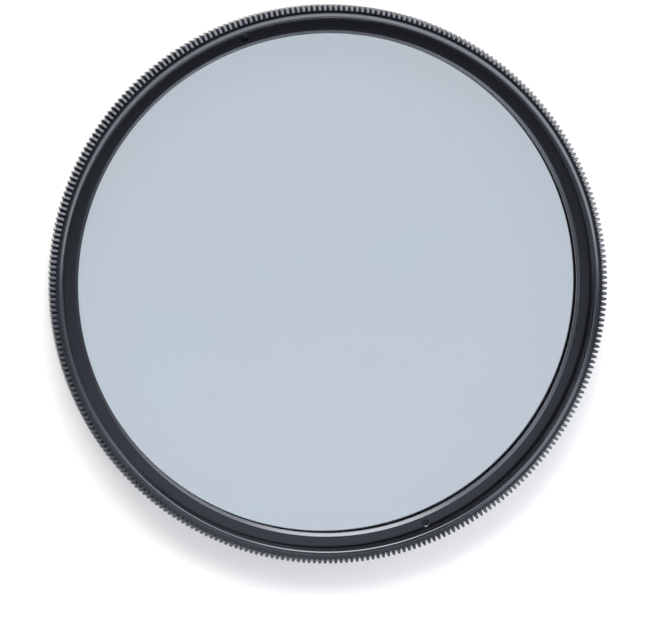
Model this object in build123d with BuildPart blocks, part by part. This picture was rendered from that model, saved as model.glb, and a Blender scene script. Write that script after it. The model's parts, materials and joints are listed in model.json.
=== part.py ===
"""Screw-in circular polarising filter: a knurled front ring that turns on a threaded base ring.

Millimetres. The optical axis is Z, the lens side is down and the origin lies in the rear end of the
lens thread, so the filter lies flat on that end.
"""

import os

from build123d import *

os.makedirs("parts", exist_ok=True)

# Filter thread, male at the rear and female in front
thread_diameter = 77.0
thread_pitch = 0.75
internal_crest_share = 0.5413  # depth of a 60 degree internal thread as a share of its pitch
lens_thread_length = 3.0
lens_thread_chamfer = 0.3
lens_thread_wall = 1.5

# Knurled grip, alike on both rings
shoulder_width = 1.65  # from the lens thread out to the tooth tips
groove_depth = 0.85
groove_count = 324

# Base ring
base_floor_thickness = 0.8
cup_wall_height = 1.8
cup_wall = 1.0

# Turning fit between the rings
running_clearance = 0.05
axial_play = 0.1
ring_gap = 0.3

# Split spring ring that ties the rings together
snap_height = 0.7
snap_thickness = 0.6
snap_width = 0.7
snap_overlap = 0.2  # how far it reaches under the cup's lip
snap_opening = 8.0
snap_clearance = 0.1

# Cemented glass
plate_thickness = 0.9
film_thickness = 0.1
cement_line = 0.02

# Front ring
spigot_wall = 0.95
glass_seat_width = 1.2
ledge_thickness = 0.6
pocket_clearance = 0.1
pocket_below_glass = 0.2
front_recess_depth = 2.2
rim_set_in = 0.32  # from the groove roots in to the foot of the rim
rim_height = 0.35
rim_taper = 0.22
lead_in = 0.42

# Retaining ring
retaining_thickness = 0.9
retaining_chamfer = 0.5
thread_clearance = 0.05
spanner_hole_diameter = 0.75
spanner_hole_countersink = 1.05
spanner_hole_depth = 0.7
spanner_hole_inset = 1.05  # from the ring's edge
spanner_hole_angle = 109.0
spanner_hole_spread = 183.0

# Radii that follow
thread_radius = thread_diameter / 2
lens_bore_radius = thread_radius - lens_thread_wall
front_bore_radius = thread_radius - internal_crest_share * thread_pitch
grip_radius = thread_radius + shoulder_width
groove_root_radius = grip_radius - groove_depth
cup_bore_radius = groove_root_radius - cup_wall
spigot_radius = cup_bore_radius - running_clearance
pocket_radius = spigot_radius - spigot_wall
glass_radius = pocket_radius - pocket_clearance
clear_radius = glass_radius - glass_seat_width
rim_radius = groove_root_radius - rim_set_in
retaining_seat_radius = thread_radius  # the engaged thread is drawn at its outer radius
retaining_radius = retaining_seat_radius - thread_clearance
spanner_hole_radius = retaining_radius - spanner_hole_inset
snap_outer_radius = cup_bore_radius + snap_overlap
snap_inner_radius = snap_outer_radius - snap_width
undercut_radius = snap_outer_radius + snap_clearance

# Heights that follow, from the rear end to the rim
floor_top = lens_thread_length + base_floor_thickness
cup_top = floor_top + cup_wall_height
snap_bottom = floor_top + snap_height - snap_thickness / 2
snap_top = snap_bottom + snap_thickness
lip_bottom = snap_top + snap_clearance
spigot_bottom = floor_top + axial_play
ledge_top = spigot_bottom + ledge_thickness
rear_glass_bottom = ledge_top + cement_line
retarder_bottom = rear_glass_bottom + plate_thickness + cement_line
polariser_bottom = retarder_bottom + film_thickness + cement_line
front_glass_bottom = polariser_bottom + film_thickness + cement_line
glass_top = front_glass_bottom + plate_thickness
pocket_top = glass_top - pocket_below_glass
retaining_bottom = glass_top + cement_line
retaining_top = retaining_bottom + retaining_thickness
rim_top = retaining_top + front_recess_depth
grip_top = rim_top - rim_height
grip_bottom = cup_top + ring_gap


def knurl_outline():
    """Tooth tips and groove roots in turn, once round the axis."""
    corners = []
    for tooth in range(groove_count):
        tip_angle = 360 * tooth / groove_count
        root_angle = 360 * (tooth + 0.5) / groove_count
        corners.append(Vector(grip_radius, 0).rotate(Axis.Z, tip_angle))
        corners.append(Vector(groove_root_radius, 0).rotate(Axis.Z, root_angle))
    return corners


# Base ring: lens thread, floor and the cup in which the front ring turns, undercut below its lip
with BuildPart() as base_ring:
    with BuildSketch(Plane.XZ):
        with BuildLine():
            Polyline(
                (lens_bore_radius, 0),
                (thread_radius - lens_thread_chamfer, 0),
                (thread_radius, lens_thread_chamfer),
                (thread_radius, lens_thread_length),
                (groove_root_radius, lens_thread_length),
                (groove_root_radius, cup_top),
                (cup_bore_radius, cup_top),
                (cup_bore_radius, lip_bottom),
                (undercut_radius, lip_bottom),
                (undercut_radius, floor_top),
                (lens_bore_radius, floor_top),
                close=True,
            )
        make_face()
    revolve(axis=Axis.Z)
    with BuildSketch(Plane.XY.offset(lens_thread_length)):
        with BuildLine():
            Polyline(*knurl_outline(), close=True)
        make_face()
        Circle(undercut_radius, mode=Mode.SUBTRACT)
    extrude(amount=cup_top - lens_thread_length)
base_ring.part.label = "base_ring"

# Front ring: spigot with the snap groove, glass seat, threaded front bore, grip and rim
with BuildPart() as front_ring:
    with BuildSketch(Plane.XZ):
        with BuildLine():
            Polyline(
                (clear_radius, spigot_bottom),
                (spigot_radius, spigot_bottom),
                (spigot_radius, snap_bottom),
                (snap_inner_radius, snap_bottom),
                (snap_inner_radius, snap_top),
                (spigot_radius, snap_top),
                (spigot_radius, grip_bottom),
                (groove_root_radius, grip_bottom),
                (groove_root_radius, grip_top),
                (rim_radius, grip_top),
                (rim_radius - rim_taper, rim_top),
                (front_bore_radius + lead_in, rim_top),
                (front_bore_radius, rim_top - lead_in),
                (front_bore_radius, retaining_top),
                (retaining_seat_radius, retaining_top),
                (retaining_seat_radius, pocket_top),
                (pocket_radius, pocket_top),
                (pocket_radius, ledge_top),
                (clear_radius, ledge_top),
                close=True,
            )
        make_face()
    revolve(axis=Axis.Z)
    with BuildSketch(Plane.XY.offset(grip_bottom)):
        with BuildLine():
            Polyline(*knurl_outline(), close=True)
        make_face()
        Circle(retaining_seat_radius, mode=Mode.SUBTRACT)
    extrude(amount=grip_top - grip_bottom)
front_ring.part.label = "front_ring"

# Retaining ring: chamfered bore, threaded edge and two countersunk holes for a pin spanner
with BuildPart() as retaining_ring:
    with BuildSketch(Plane.XZ):
        with BuildLine():
            Polyline(
                (clear_radius, retaining_bottom),
                (retaining_radius, retaining_bottom),
                (retaining_radius, retaining_top),
                (clear_radius + retaining_chamfer, retaining_top),
                (clear_radius, retaining_top - retaining_chamfer),
                close=True,
            )
        make_face()
    revolve(axis=Axis.Z)
    with Locations(Plane.XY.offset(retaining_top)):
        with PolarLocations(
            spanner_hole_radius, 2, start_angle=spanner_hole_angle, angular_range=2 * spanner_hole_spread
        ):
            CounterSinkHole(
                spanner_hole_diameter / 2, spanner_hole_countersink / 2, depth=spanner_hole_depth
            )
retaining_ring.part.label = "retaining_ring"


def optical_disc(label, bottom, thickness):
    """One flat round layer of the cemented glass."""
    with BuildPart() as disc:
        with BuildSketch(Plane.XY.offset(bottom)):
            Circle(glass_radius)
        extrude(amount=thickness)
    disc.part.label = label
    return disc


rear_glass = optical_disc("rear_glass", rear_glass_bottom, plate_thickness)
retarder_film = optical_disc("retarder_film", retarder_bottom, film_thickness)
polarising_film = optical_disc("polarising_film", polariser_bottom, film_thickness)
front_glass = optical_disc("front_glass", front_glass_bottom, plate_thickness)

# Snap ring: split spring ring, seated in the spigot's groove and caught under the cup's lip
with BuildPart() as snap_ring:
    with BuildSketch(Plane.XZ):
        with BuildLine():
            Polyline(
                (snap_inner_radius, snap_bottom),
                (snap_outer_radius, snap_bottom),
                (snap_outer_radius, snap_top),
                (snap_inner_radius, snap_top),
                close=True,
            )
        make_face()
    revolve(axis=Axis.Z, revolution_arc=360 - snap_opening)
snap_ring.part.label = "snap_ring"

for piece in (
    base_ring,
    front_ring,
    retaining_ring,
    rear_glass,
    retarder_film,
    polarising_film,
    front_glass,
    snap_ring,
):
    export_step(piece.part, f"parts/{piece.part.label}.step")
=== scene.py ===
"""Looks of a screw-in circular polarising filter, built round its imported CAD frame.

Metres. The optical axis is Z, the lens side is down, and the filter lies on the end of its lens thread.
"""

import json
import math

import bmesh
import bpy
from mathutils import Matrix, Vector


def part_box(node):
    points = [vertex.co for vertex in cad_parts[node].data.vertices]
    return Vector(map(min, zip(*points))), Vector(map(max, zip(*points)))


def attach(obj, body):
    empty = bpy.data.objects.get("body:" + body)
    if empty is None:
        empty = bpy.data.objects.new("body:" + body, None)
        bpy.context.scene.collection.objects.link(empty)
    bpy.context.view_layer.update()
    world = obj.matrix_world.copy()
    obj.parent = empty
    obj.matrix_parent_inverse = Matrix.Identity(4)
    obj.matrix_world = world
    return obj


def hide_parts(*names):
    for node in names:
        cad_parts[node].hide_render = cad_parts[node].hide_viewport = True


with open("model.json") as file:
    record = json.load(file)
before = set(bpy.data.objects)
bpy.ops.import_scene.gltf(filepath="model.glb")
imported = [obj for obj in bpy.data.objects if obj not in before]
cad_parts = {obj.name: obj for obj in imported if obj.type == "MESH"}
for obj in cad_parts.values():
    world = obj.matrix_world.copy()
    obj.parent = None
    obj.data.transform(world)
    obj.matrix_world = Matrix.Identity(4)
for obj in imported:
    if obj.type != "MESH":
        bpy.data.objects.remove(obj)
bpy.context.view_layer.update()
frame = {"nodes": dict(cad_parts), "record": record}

# Sizes read from the frame
MM = 0.001
mounts = {mount["name"]: mount for mount in frame["record"]["mounts"]}
THREAD_RADIUS = mounts["lens_thread"]["dims"]["r_mm"] * MM
BORE_RADIUS = mounts["front_thread"]["dims"]["r_mm"] * MM
SPIGOT_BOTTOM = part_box("front_ring")[0].z
RIM_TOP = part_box("front_ring")[1].z
GRIP_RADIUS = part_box("front_ring")[1].x
CUP_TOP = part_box("base_ring")[1].z
RETAINING_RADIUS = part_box("retaining_ring")[1].x
RETAINING_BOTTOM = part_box("retaining_ring")[0].z
RETAINING_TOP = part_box("retaining_ring")[1].z
GLASS_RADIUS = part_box("front_glass")[1].x
GLASS_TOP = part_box("front_glass")[1].z
SNAP_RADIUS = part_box("snap_ring")[1].x
SNAP_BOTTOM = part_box("snap_ring")[0].z
SNAP_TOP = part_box("snap_ring")[1].z

# Knurl
TOOTH_COUNT = 324
COLUMNS_A_TOOTH = 4
GROOVE_DEPTH = 0.85 * MM
TIP_LAND = 0.38  # share of the pitch that is flat at a tip
ROOT_LAND = 0.1
TOOTH_FALL = 0.34 * MM  # of the front ring's tooth ends, from root to tip
STAGGER = 0.5  # of a pitch, how far the base ring's teeth stand out of step at rest
GROOVE_ROOT = GRIP_RADIUS - GROOVE_DEPTH

# Threads, 60 degrees
PITCH = 0.75 * MM
MALE_DEPTH = 0.6134 * PITCH
RELIEF_WIDTH = 0.5 * MM
RELIEF_DEPTH = 0.5 * MM
LENS_THREAD_LENGTH = 3.0 * MM
LENS_THREAD_CHAMFER = 0.3 * MM
LENS_THREAD_WALL = 1.5 * MM
LENS_BORE_RADIUS = THREAD_RADIUS - LENS_THREAD_WALL

# Walls and clearances of the rings
FLOOR_THICKNESS = 0.8 * MM
CUP_WALL = 1.0 * MM
RUNNING_CLEARANCE = 0.05 * MM
SNAP_CLEARANCE = 0.1 * MM
SNAP_WIDTH = 0.7 * MM
RING_GAP = 0.3 * MM
POCKET_CLEARANCE = 0.1 * MM
POCKET_BELOW_GLASS = 0.2 * MM
GLASS_SEAT_WIDTH = 1.2 * MM
LEDGE_THICKNESS = 0.6 * MM
RIM_SET_IN = 0.42 * MM  # from the groove roots in to the foot of the rim
LEAD_IN_WIDTH = 0.22 * MM
SPANNER_HOLE_INSET = 1.05 * MM  # from the edge of the retaining ring

# Rings
FLOOR_TOP = LENS_THREAD_LENGTH + FLOOR_THICKNESS
CUP_BORE = GROOVE_ROOT - CUP_WALL
SPIGOT_RADIUS = CUP_BORE - RUNNING_CLEARANCE
UNDERCUT_RADIUS = SNAP_RADIUS + SNAP_CLEARANCE
LIP_BOTTOM = SNAP_TOP + SNAP_CLEARANCE
SNAP_INNER = SNAP_RADIUS - SNAP_WIDTH
GRIP_BOTTOM = CUP_TOP + RING_GAP
POCKET_RADIUS = GLASS_RADIUS + POCKET_CLEARANCE
CLEAR_RADIUS = GLASS_RADIUS - GLASS_SEAT_WIDTH
LEDGE_TOP = SPIGOT_BOTTOM + LEDGE_THICKNESS
POCKET_TOP = GLASS_TOP - POCKET_BELOW_GLASS
RIM_HEIGHT = 0.35 * MM
RIM_FOOT = GROOVE_ROOT - RIM_SET_IN
RIM_OUTER_CHAMFER = 0.06 * MM
RIM_INNER_CHAMFER = 0.15 * MM
RIM_FALL = 0.14 * MM  # of the rim's face, towards its outer edge
LEAD_IN = 0.28 * MM
LEAD_IN_RADIUS = BORE_RADIUS + LEAD_IN_WIDTH
GRIP_TOP = RIM_TOP - RIM_HEIGHT
RETAINING_CHAMFER = 0.46 * MM
SPANNER_HOLE_RADIUS = RETAINING_RADIUS - SPANNER_HOLE_INSET
SPANNER_HOLE_DIAMETER = 0.75 * MM
SPANNER_COUNTERSINK = 1.05 * MM
SPANNER_HOLE_DEPTH = 0.7 * MM
SPANNER_HOLE_ANGLES = (109.0, 292.0)  # degrees
EDGE_BREAK = 0.04 * MM
GLASS_BEVEL = 0.15 * MM
SHARP_ANGLE = math.radians(4)  # edges that turn more stay crisp
SAME_PLACE = 0.001 * MM  # vertices nearer than this are one

# Camera
CAMERA_WAY = Vector((-0.116, 0.091, 0.989)).normalized()  # from the filter to the camera
CAMERA_DISTANCE = 0.65
FOCAL_LENGTH = 245.8
SENSOR_WIDTH = 36.0
AIM_RIGHT = 0.27 * MM  # of the rim's middle, as the camera sees it
AIM_BELOW = 3.775 * MM


# Meshes

def smoothed(mesh):
    """Smooth shading, apart from the crisp edges."""
    mesh.polygons.foreach_set("use_smooth", [True] * len(mesh.polygons))
    mesh.set_sharp_from_angle(angle=SHARP_ANGLE)


def finished(name, bm):
    """An object from a bmesh."""
    mesh = bpy.data.meshes.new(name)
    bm.to_mesh(mesh)
    bm.free()
    smoothed(mesh)
    piece = bpy.data.objects.new(name, mesh)
    bpy.context.scene.collection.objects.link(piece)
    return piece


def repeated(bm, copies):
    """Repeats what is there round the axis and closes the seams."""
    done = 1
    for factor in (2, 3, 5):
        while copies % (done * factor) == 0:
            whole = bm.verts[:] + bm.edges[:] + bm.faces[:]
            for number in range(1, factor):
                copied = bmesh.ops.duplicate(bm, geom=whole)["geom"]
                verts = [item for item in copied if isinstance(item, bmesh.types.BMVert)]
                turn = Matrix.Rotation(2 * math.pi * number * done / copies, 3, "Z")
                bmesh.ops.rotate(bm, verts=verts, cent=(0, 0, 0), matrix=turn)
            done *= factor
    bmesh.ops.remove_doubles(bm, verts=bm.verts[:], dist=SAME_PLACE)
    bmesh.ops.recalc_face_normals(bm, faces=bm.faces[:])


def sector(section, copies, steps):
    """One slice of a ring turned from a closed section of radii and heights, with its corners broken."""
    bm = bmesh.new()
    corners = [bm.verts.new((radius, 0, height)) for radius, height in section]
    bm.faces.new(corners)
    bmesh.ops.bevel(
        bm, geom=corners, offset=EDGE_BREAK, offset_type="OFFSET", affect="VERTICES",
        segments=2, profile=0.5, material=-1,
    )
    bmesh.ops.delete(bm, geom=bm.faces[:], context="FACES_ONLY")
    bmesh.ops.spin(
        bm, geom=bm.verts[:] + bm.edges[:], cent=(0, 0, 0), axis=(0, 0, 1),
        angle=2 * math.pi / copies, steps=steps,
    )
    return bm


def turned(section, copies=72, steps=10):
    """A plain turned ring."""
    bm = sector(section, copies, steps)
    repeated(bm, copies)
    return bm


def knurled(section, stagger):
    """A turned ring with straight teeth, four columns of vertices each, turned on by a share of a pitch."""
    bm = sector(section, TOOTH_COUNT, COLUMNS_A_TOOTH)
    pitch_angle = 2 * math.pi / TOOTH_COUNT
    places = (-TIP_LAND / 2, TIP_LAND / 2, 0.5 - ROOT_LAND / 2, 0.5 + ROOT_LAND / 2, 1 - TIP_LAND / 2)
    for vert in bm.verts:
        radius = vert.co.xy.length
        column = round(math.atan2(vert.co.y, vert.co.x) / pitch_angle * COLUMNS_A_TOOTH)
        if column in (2, 3):
            radius = min(radius, GROOVE_ROOT)
        angle = (places[column] + stagger) * pitch_angle
        vert.co.xy = radius * math.cos(angle), radius * math.sin(angle)
    repeated(bm, TOOTH_COUNT)
    return bm


def thread_cutter(name, wall, root, opening, root_flat, start, turns):
    """A helical bar with the section of a thread groove, from outside the wall to the root."""
    overcut = 0.06 * MM * (1 if wall > root else -1)
    flank = 2 * abs(overcut) * math.tan(math.radians(30))
    bm = bmesh.new()
    corners = [
        bm.verts.new((wall + overcut, 0, start - opening / 2 - flank / 2)),
        bm.verts.new((root, 0, start - root_flat / 2)),
        bm.verts.new((root, 0, start + root_flat / 2)),
        bm.verts.new((wall + overcut, 0, start + opening / 2 + flank / 2)),
    ]
    first = bm.faces.new(corners)
    steps_a_turn = 360
    bmesh.ops.spin(
        bm, geom=[first], cent=(0, 0, 0), axis=(0, 0, 1), dvec=(0, 0, PITCH / steps_a_turn),
        angle=2 * math.pi * turns, steps=round(steps_a_turn * turns),
    )
    bmesh.ops.recalc_face_normals(bm, faces=bm.faces[:])
    return finished(name, bm)


def spanner_cutter(name, angle):
    """A countersunk pin hole's cutter, standing on the retaining ring."""
    sink = (SPANNER_COUNTERSINK - SPANNER_HOLE_DIAMETER) / 2
    outline = (
        (0, RETAINING_TOP - SPANNER_HOLE_DEPTH),
        (SPANNER_HOLE_DIAMETER / 2, RETAINING_TOP - SPANNER_HOLE_DEPTH),
        (SPANNER_HOLE_DIAMETER / 2, RETAINING_TOP - sink),
        (SPANNER_COUNTERSINK / 2 + sink, RETAINING_TOP + sink),
        (0, RETAINING_TOP + sink),
    )
    bm = bmesh.new()
    corners = [bm.verts.new((radius, 0, height)) for radius, height in outline]
    edges = [bm.edges.new(pair) for pair in zip(corners, corners[1:])]
    bmesh.ops.spin(
        bm, geom=corners + edges, cent=(0, 0, 0), axis=(0, 0, 1), angle=2 * math.pi, steps=36, use_merge=True,
    )
    bmesh.ops.remove_doubles(bm, verts=bm.verts[:], dist=SAME_PLACE)
    bmesh.ops.recalc_face_normals(bm, faces=bm.faces[:])
    bmesh.ops.translate(bm, verts=bm.verts[:], vec=(SPANNER_HOLE_RADIUS, 0, 0))
    turn = Matrix.Rotation(math.radians(angle), 3, "Z")
    bmesh.ops.rotate(bm, verts=bm.verts[:], cent=(0, 0, 0), matrix=turn)
    return finished(name, bm)


def cut(piece, cutters):
    """Takes the cutters out of a piece for good and removes them."""
    for cutter in cutters:
        modifier = piece.modifiers.new("cut", "BOOLEAN")
        modifier.operation = "DIFFERENCE"
        modifier.solver = "MANIFOLD"
        modifier.object = cutter
    bpy.context.view_layer.update()
    mesh = bpy.data.meshes.new_from_object(piece.evaluated_get(bpy.context.evaluated_depsgraph_get()))
    old = piece.data
    piece.modifiers.clear()
    piece.data = mesh
    mesh.name = piece.name
    bpy.data.meshes.remove(old)
    for cutter in cutters:
        bpy.data.objects.remove(cutter)
    smoothed(mesh)
    return piece


def knurled_front_ring():
    """The ring that turns: spigot, glass seat, threaded bore, rim and grip."""
    section = (
        (CLEAR_RADIUS, SPIGOT_BOTTOM),
        (SPIGOT_RADIUS, SPIGOT_BOTTOM),
        (SPIGOT_RADIUS, SNAP_BOTTOM),
        (SNAP_INNER, SNAP_BOTTOM),
        (SNAP_INNER, SNAP_TOP),
        (SPIGOT_RADIUS, SNAP_TOP),
        (SPIGOT_RADIUS, GRIP_BOTTOM),
        (GRIP_RADIUS, GRIP_BOTTOM),
        (GRIP_RADIUS, GRIP_TOP - TOOTH_FALL),
        (GROOVE_ROOT, GRIP_TOP),
        (RIM_FOOT, GRIP_TOP),
        (RIM_FOOT, RIM_TOP - RIM_FALL - RIM_OUTER_CHAMFER),
        (RIM_FOOT - RIM_OUTER_CHAMFER, RIM_TOP - RIM_FALL),
        (LEAD_IN_RADIUS + RIM_INNER_CHAMFER, RIM_TOP),
        (LEAD_IN_RADIUS, RIM_TOP - RIM_INNER_CHAMFER),
        (BORE_RADIUS, RIM_TOP - LEAD_IN),
        (BORE_RADIUS, RETAINING_TOP),
        (THREAD_RADIUS, RETAINING_TOP),
        (THREAD_RADIUS, POCKET_TOP),
        (POCKET_RADIUS, POCKET_TOP),
        (POCKET_RADIUS, LEDGE_TOP),
        (CLEAR_RADIUS, LEDGE_TOP),
    )
    ring = finished("front_ring_knurled", knurled(section, 0.0))
    cutter = thread_cutter(
        "front_thread_cutter", wall=BORE_RADIUS, root=THREAD_RADIUS - 0.01 * MM, opening=0.75 * PITCH,
        root_flat=PITCH / 8, start=RETAINING_TOP - 0.2 * PITCH, turns=2.9,
    )
    return cut(ring, [cutter])


def threaded_base_ring():
    """The ring that screws into the lens: thread, relief, floor and the cup for the spigot."""
    neck = THREAD_RADIUS - RELIEF_DEPTH
    section = (
        (LENS_BORE_RADIUS, 0),
        (THREAD_RADIUS - LENS_THREAD_CHAMFER, 0),
        (THREAD_RADIUS, LENS_THREAD_CHAMFER),
        (THREAD_RADIUS, LENS_THREAD_LENGTH - RELIEF_WIDTH),
        (neck, LENS_THREAD_LENGTH - RELIEF_WIDTH),
        (neck, LENS_THREAD_LENGTH),
        (GRIP_RADIUS, LENS_THREAD_LENGTH),
        (GRIP_RADIUS, CUP_TOP),
        (CUP_BORE, CUP_TOP),
        (CUP_BORE, LIP_BOTTOM),
        (UNDERCUT_RADIUS, LIP_BOTTOM),
        (UNDERCUT_RADIUS, FLOOR_TOP),
        (LENS_BORE_RADIUS, FLOOR_TOP),
    )
    ring = finished("base_ring_threaded", knurled(section, STAGGER))
    cutter = thread_cutter(
        "lens_thread_cutter", wall=THREAD_RADIUS, root=THREAD_RADIUS - MALE_DEPTH,
        opening=0.875 * PITCH, root_flat=PITCH / 5, start=-0.6 * PITCH, turns=4.2,
    )
    return cut(ring, [cutter])


def drilled_retaining_ring():
    """The flat ring over the glass, with its chamfered bore and two pin holes."""
    section = (
        (CLEAR_RADIUS, RETAINING_BOTTOM),
        (RETAINING_RADIUS, RETAINING_BOTTOM),
        (RETAINING_RADIUS, RETAINING_TOP),
        (CLEAR_RADIUS + RETAINING_CHAMFER, RETAINING_TOP),
        (CLEAR_RADIUS, RETAINING_TOP - RETAINING_CHAMFER),
    )
    ring = finished("retaining_ring_drilled", turned(section))
    cutters = [spanner_cutter(f"spanner_cutter_{angle:.0f}", angle) for angle in SPANNER_HOLE_ANGLES]
    return cut(ring, cutters)


def bevelled_plate(name, node):
    """A round glass plate whose edges are ground off."""
    low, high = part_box(node)
    bm = bmesh.new()
    bmesh.ops.create_cone(
        bm, cap_ends=True, segments=256, radius1=GLASS_RADIUS, radius2=GLASS_RADIUS, depth=high.z - low.z,
    )
    bmesh.ops.translate(bm, verts=bm.verts[:], vec=(0, 0, (low.z + high.z) / 2))
    rims = [edge for edge in bm.edges if abs(edge.verts[0].co.z - edge.verts[1].co.z) < SAME_PLACE]
    bmesh.ops.bevel(
        bm, geom=rims, offset=GLASS_BEVEL, offset_type="OFFSET", affect="EDGES",
        segments=1, profile=0.5, material=-1,
    )
    return finished(name, bm)


# Materials

class Value:
    """A number socket of a shader; sums, products and the like add the Math nodes."""

    def __init__(self, finish, socket):
        self.finish = finish
        self.socket = socket

    def math(self, operation, first, second):
        return self.finish.node("ShaderNodeMath", {"operation": operation}, {0: first, 1: second})[0]

    def __add__(self, other):
        return self.math("ADD", self, other)

    __radd__ = __add__

    def __mul__(self, other):
        return self.math("MULTIPLY", self, other)

    __rmul__ = __mul__

    def __sub__(self, other):
        return self.math("SUBTRACT", self, other)

    def __rsub__(self, other):
        return self.math("SUBTRACT", other, self)

    def __pow__(self, other):
        return self.math("POWER", self, other)

    def __or__(self, other):
        return self.math("MAXIMUM", self, other)

    def smooth(self, low, high):
        """0 at low, 1 at high and an even curve between."""
        sockets = {"Value": self, "From Min": low, "From Max": high}
        return self.finish.node("ShaderNodeMapRange", {"interpolation_type": "SMOOTHSTEP"}, sockets)[0]


class Finish:
    """One material, or the world, under construction."""

    def __init__(self, owner):
        owner.use_nodes = True
        self.owner = owner
        self.tree = owner.node_tree
        self.tree.nodes.clear()

    def node(self, kind, settings=None, sockets=None):
        """Adds a node, its settings first and then its sockets, and gives its outputs."""
        made = self.tree.nodes.new(kind)
        for setting, value in (settings or {}).items():
            setattr(made, setting, value)
        for key, value in (sockets or {}).items():
            socket = made.inputs[key]
            if isinstance(value, Value):
                self.tree.links.new(value.socket, socket)
            elif socket.type == "RGBA":
                socket.default_value = (*value, 1)
            else:
                socket.default_value = value
        return [Value(self, socket) for socket in made.outputs if socket.enabled]

    def place(self):
        """Object coordinates."""
        return self.node("ShaderNodeTexCoord")[3]

    def radius_and_height(self, where):
        """The distance from the optical axis and the height, in millimetres."""
        x, y, z = self.node("ShaderNodeSeparateXYZ", None, {0: where})
        return (x * x + y * y) ** 0.5 * 1000, z * 1000

    def noise(self, where, scale, detail=2.0, roughness=0.5):
        sockets = {"Vector": where, "Scale": scale, "Detail": detail, "Roughness": roughness}
        return self.node("ShaderNodeTexNoise", None, sockets)[0]

    def lines(self, position, scale, detail=2.0):
        """Noise along one number, as the marks of a turning tool run."""
        sockets = {"W": position, "Scale": scale, "Detail": detail}
        return self.node("ShaderNodeTexNoise", {"noise_dimensions": "1D"}, sockets)[0]

    def blend(self, share, first, second):
        sockets = {0: share, 6: first, 7: second}
        return self.node("ShaderNodeMix", {"data_type": "RGBA"}, sockets)[0]

    def bump(self, height, distance):
        return self.node("ShaderNodeBump", None, {"Height": height, "Distance": distance})[0]

    def principled(self, **sockets):
        named = {key.replace("_", " "): value for key, value in sockets.items()}
        return self.node("ShaderNodeBsdfPrincipled", None, named)[0]

    def done(self, shader):
        self.node("ShaderNodeOutputMaterial", None, {0: shader})
        return self.owner


def anodised(name, colour, roughness, turning, grain):
    """Dyed black oxide on turned metal: fine tool marks round the axis, a grain and lighter tooth ends in
    patches.
    """
    finish = Finish(bpy.data.materials.new(name))
    where = finish.place()
    radius, height = finish.radius_and_height(where)
    drift = finish.noise(where, 60.0)
    marks = finish.lines(radius + 0.7 * height + 0.02 * drift, 22.0, 3.0)
    speck = finish.noise(where, 9000.0, 2.0, 0.6)
    cloud = finish.noise(where, 220.0, 3.0)
    root = GROOVE_ROOT / MM
    # tooth ends lighter, in patches
    tooth = radius.smooth(root + 0.05, root + 0.35)
    tooth_lightening = tooth * (0.6 + 0.4 * cloud.smooth(0.35, 0.75))
    shade = finish.blend(cloud.smooth(0.2, 0.8), colour, [part * 1.35 for part in colour])
    tooth_end_tone = (0.06, 0.062, 0.068)
    shade = finish.blend(tooth_lightening, shade, tooth_end_tone)
    shader = finish.principled(
        Base_Color=shade,
        Roughness=roughness + (marks - 0.5) * 0.12 + (speck - 0.5) * 0.08,
        IOR=1.8,
        Normal=finish.bump(marks * turning + speck * grain, 0.0000006),
    )
    return finish.done(shader)


def clear_layer(name, tint, patch, gloss):
    """A see-through layer: a faint tint in slow patches and, in the air, a mirror at low angles."""
    finish = Finish(bpy.data.materials.new(name))
    where = finish.place()
    smear = finish.noise(where, 30.0, 3.0)
    through = finish.node("ShaderNodeBsdfTransparent", None, {0: finish.blend(smear, tint, patch)})[0]
    if not gloss:
        return finish.done(through)
    polish = {"Color": (1, 1, 1), "Roughness": 0.02 + 0.03 * smear}
    mirror = finish.node("ShaderNodeBsdfGlossy", None, polish)[0]
    grazing = finish.node("ShaderNodeLayerWeight", None, {"Blend": 0.5})[1]
    share = 0.012 + 0.95 * grazing ** 5
    return finish.done(finish.node("ShaderNodeMixShader", None, {0: share, 1: through, 2: mirror})[0])


def spring_steel():
    """Bright drawn wire, with lines along it."""
    finish = Finish(bpy.data.materials.new("spring_steel_drawn"))
    radius, height = finish.radius_and_height(finish.place())
    drawn = finish.lines(radius + height, 40.0, 3.0)
    shader = finish.principled(
        Base_Color=finish.blend(drawn, (0.42, 0.42, 0.43), (0.6, 0.6, 0.6)),
        Metallic=1.0,
        Roughness=0.25 + 0.2 * drawn,
    )
    return finish.done(shader)


satin_black = anodised("satin_black_anodised", (0.0038, 0.0043, 0.0064), 0.16, 0.5, 0.35)
matte_black = anodised("matte_black_anodised", (0.0041, 0.0046, 0.0068), 0.19, 0.6, 0.6)
glass = clear_layer("coated_glass_clear", (0.985, 0.99, 0.992), (0.99, 0.99, 0.99), True)
polariser = clear_layer("polariser_grey", (0.808, 0.846, 0.876), (0.826, 0.842, 0.866), False)
retarder = clear_layer("retarder_clear", (0.98, 0.985, 0.99), (0.99, 0.985, 0.98), False)
steel = spring_steel()


def fit(piece, body, node, material):
    """Puts a piece in place of its CAD node."""
    piece.data.materials.clear()
    piece.data.materials.append(material)
    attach(piece, body)
    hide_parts(node)


fit(knurled_front_ring(), "front", "front_ring", satin_black)
fit(threaded_base_ring(), "base", "base_ring", satin_black)
fit(drilled_retaining_ring(), "front", "retaining_ring", matte_black)
fit(bevelled_plate("front_plate", "front_glass"), "front", "front_glass", glass)
fit(bevelled_plate("rear_plate", "rear_glass"), "front", "rear_glass", glass)
for node_name, node_material in (
    ("polarising_film", polariser),
    ("retarder_film", retarder),
    ("snap_ring", steel),
):
    frame["nodes"][node_name].material_slots[0].material = node_material


# Floor, light and camera

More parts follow.
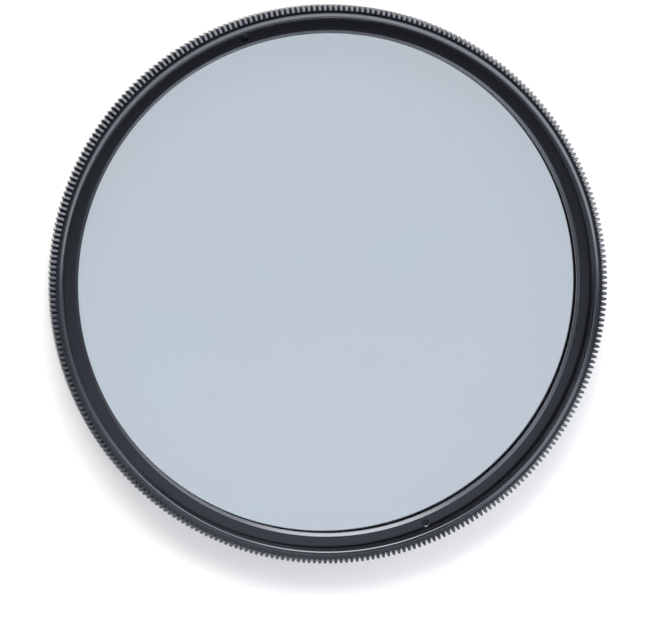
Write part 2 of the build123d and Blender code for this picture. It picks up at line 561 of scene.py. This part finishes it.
def floor():
    """Pale paper with the filter's shadow; under the glass it glows more, painted light that keeps the ring's
    shade faint there.
    """
    bm = bmesh.new()
    bmesh.ops.create_grid(bm, x_segments=1, y_segments=1, size=4.0)
    surface = finished("floor", bm)
    finish = Finish(bpy.data.materials.new("pale_floor"))
    radius = finish.radius_and_height(finish.place())[0]
    wall = THREAD_RADIUS / MM
    # painted light: under the glass the paper is darker and glows more, so the ring's shade there stays faint
    under = radius.smooth(wall + 0.5, wall - 1.5)
    path = finish.node("ShaderNodeLightPath")
    camera_ray, glossy_ray, transmission_ray = path[0], path[3], path[6]
    seen = camera_ray | glossy_ray | transmission_ray
    shade = finish.blend(under, (0.88, 0.85, 0.807), (0.12, 0.12, 0.12))
    paper = finish.node("ShaderNodeBsdfDiffuse", None, {0: shade})[0]
    # glow colour, with painted light under the glass
    light = finish.blend(under, (0.285, 0.28, 0.262), (0.8, 0.825, 0.86))
    glow = finish.node("ShaderNodeEmission", None, {0: light, 1: seen})[0]
    both = finish.node("ShaderNodeAddShader", None, {0: paper, 1: glow})[0]
    surface.data.materials.append(finish.done(both))


def softbox(name, place, size, power):
    """An area lamp that faces the filter and isn't mirrored in it."""
    light = bpy.data.lights.new(name, "AREA")
    light.shape = "RECTANGLE"
    light.size, light.size_y = size
    light.energy = power
    lamp = bpy.data.objects.new(name, light)
    lamp.location = place
    lamp.visible_glossy = False
    lamp.rotation_euler = (-Vector(place)).to_track_quat("-Z", "Y").to_euler()
    bpy.context.scene.collection.objects.link(lamp)


def studio():
    """Dark surroundings with a bright horizon, lamps and cards for the rings to mirror, and a key lamp."""
    world = bpy.data.worlds.new("studio")
    bpy.context.scene.world = world
    finish = Finish(world)
    x, y, z = finish.node("ShaderNodeSeparateXYZ", None, {0: finish.node("ShaderNodeTexCoord")[0]})
    low = z.smooth(0.38, 0.14)
    window = 2.6 * y.smooth(0.15, 0.7) + 6.4 * y.smooth(0.86, 0.99)
    reflector = 3.2 * y.smooth(-0.3, -1.0)
    sides = 0.9 * x.smooth(0.2, 0.9) + x.smooth(-0.6, -0.95)
    horizon = 0.15 + window + reflector + sides
    lower_edge = 0.19 * x.smooth(0.25, -0.15) | 0.1 * y.smooth(0.4, 0.6)
    upper_half = y.smooth(-0.15, 0.05) * y.smooth(0.78, 0.7)
    bank = 3.85 * upper_half * z.smooth(0.88, 0.76) * (z - lower_edge).smooth(0.48, 0.55)
    card = 0.9 * y.smooth(-0.055, -0.155) * z.smooth(0.54, 0.65)
    spot = 2.3 * x.smooth(0.4, 0.6) * y.smooth(-0.2, -0.4) * z.smooth(0.48, 0.56) * z.smooth(0.72, 0.64)
    level = horizon * low + (0.005 + bank + card + spot) * (1 - low)
    tone = finish.blend(level.smooth(0.5, 6.0), (0.78, 0.85, 1.0), (0.9, 0.93, 1.0))
    glow = finish.node("ShaderNodeBackground", None, {0: tone, 1: level})[0]
    finish.node("ShaderNodeOutputWorld", None, {0: glow})
    softbox("key", (-0.14, 0.56, 0.82), (0.45, 0.35), 5.5)


def camera():
    """A long lens in front of the filter, a little off its axis."""
    data = bpy.data.cameras.new("camera")
    data.sensor_width = SENSOR_WIDTH
    data.lens = FOCAL_LENGTH
    data.clip_start = 0.01
    eye = bpy.data.objects.new("camera", data)
    right = Vector((0, 1, 0)).cross(CAMERA_WAY).normalized()
    up = CAMERA_WAY.cross(right)
    target = Vector((0, 0, RIM_TOP)) + right * AIM_RIGHT - up * AIM_BELOW
    turn = Matrix((right, up, CAMERA_WAY)).transposed().to_4x4()
    eye.matrix_world = Matrix.Translation(target + CAMERA_WAY * CAMERA_DISTANCE) @ turn
    bpy.context.scene.collection.objects.link(eye)
    bpy.context.scene.camera = eye


floor()
studio()
camera()
bpy.context.scene.view_settings.view_transform = "Standard"
bpy.context.scene.cycles.transparent_max_bounces = 32
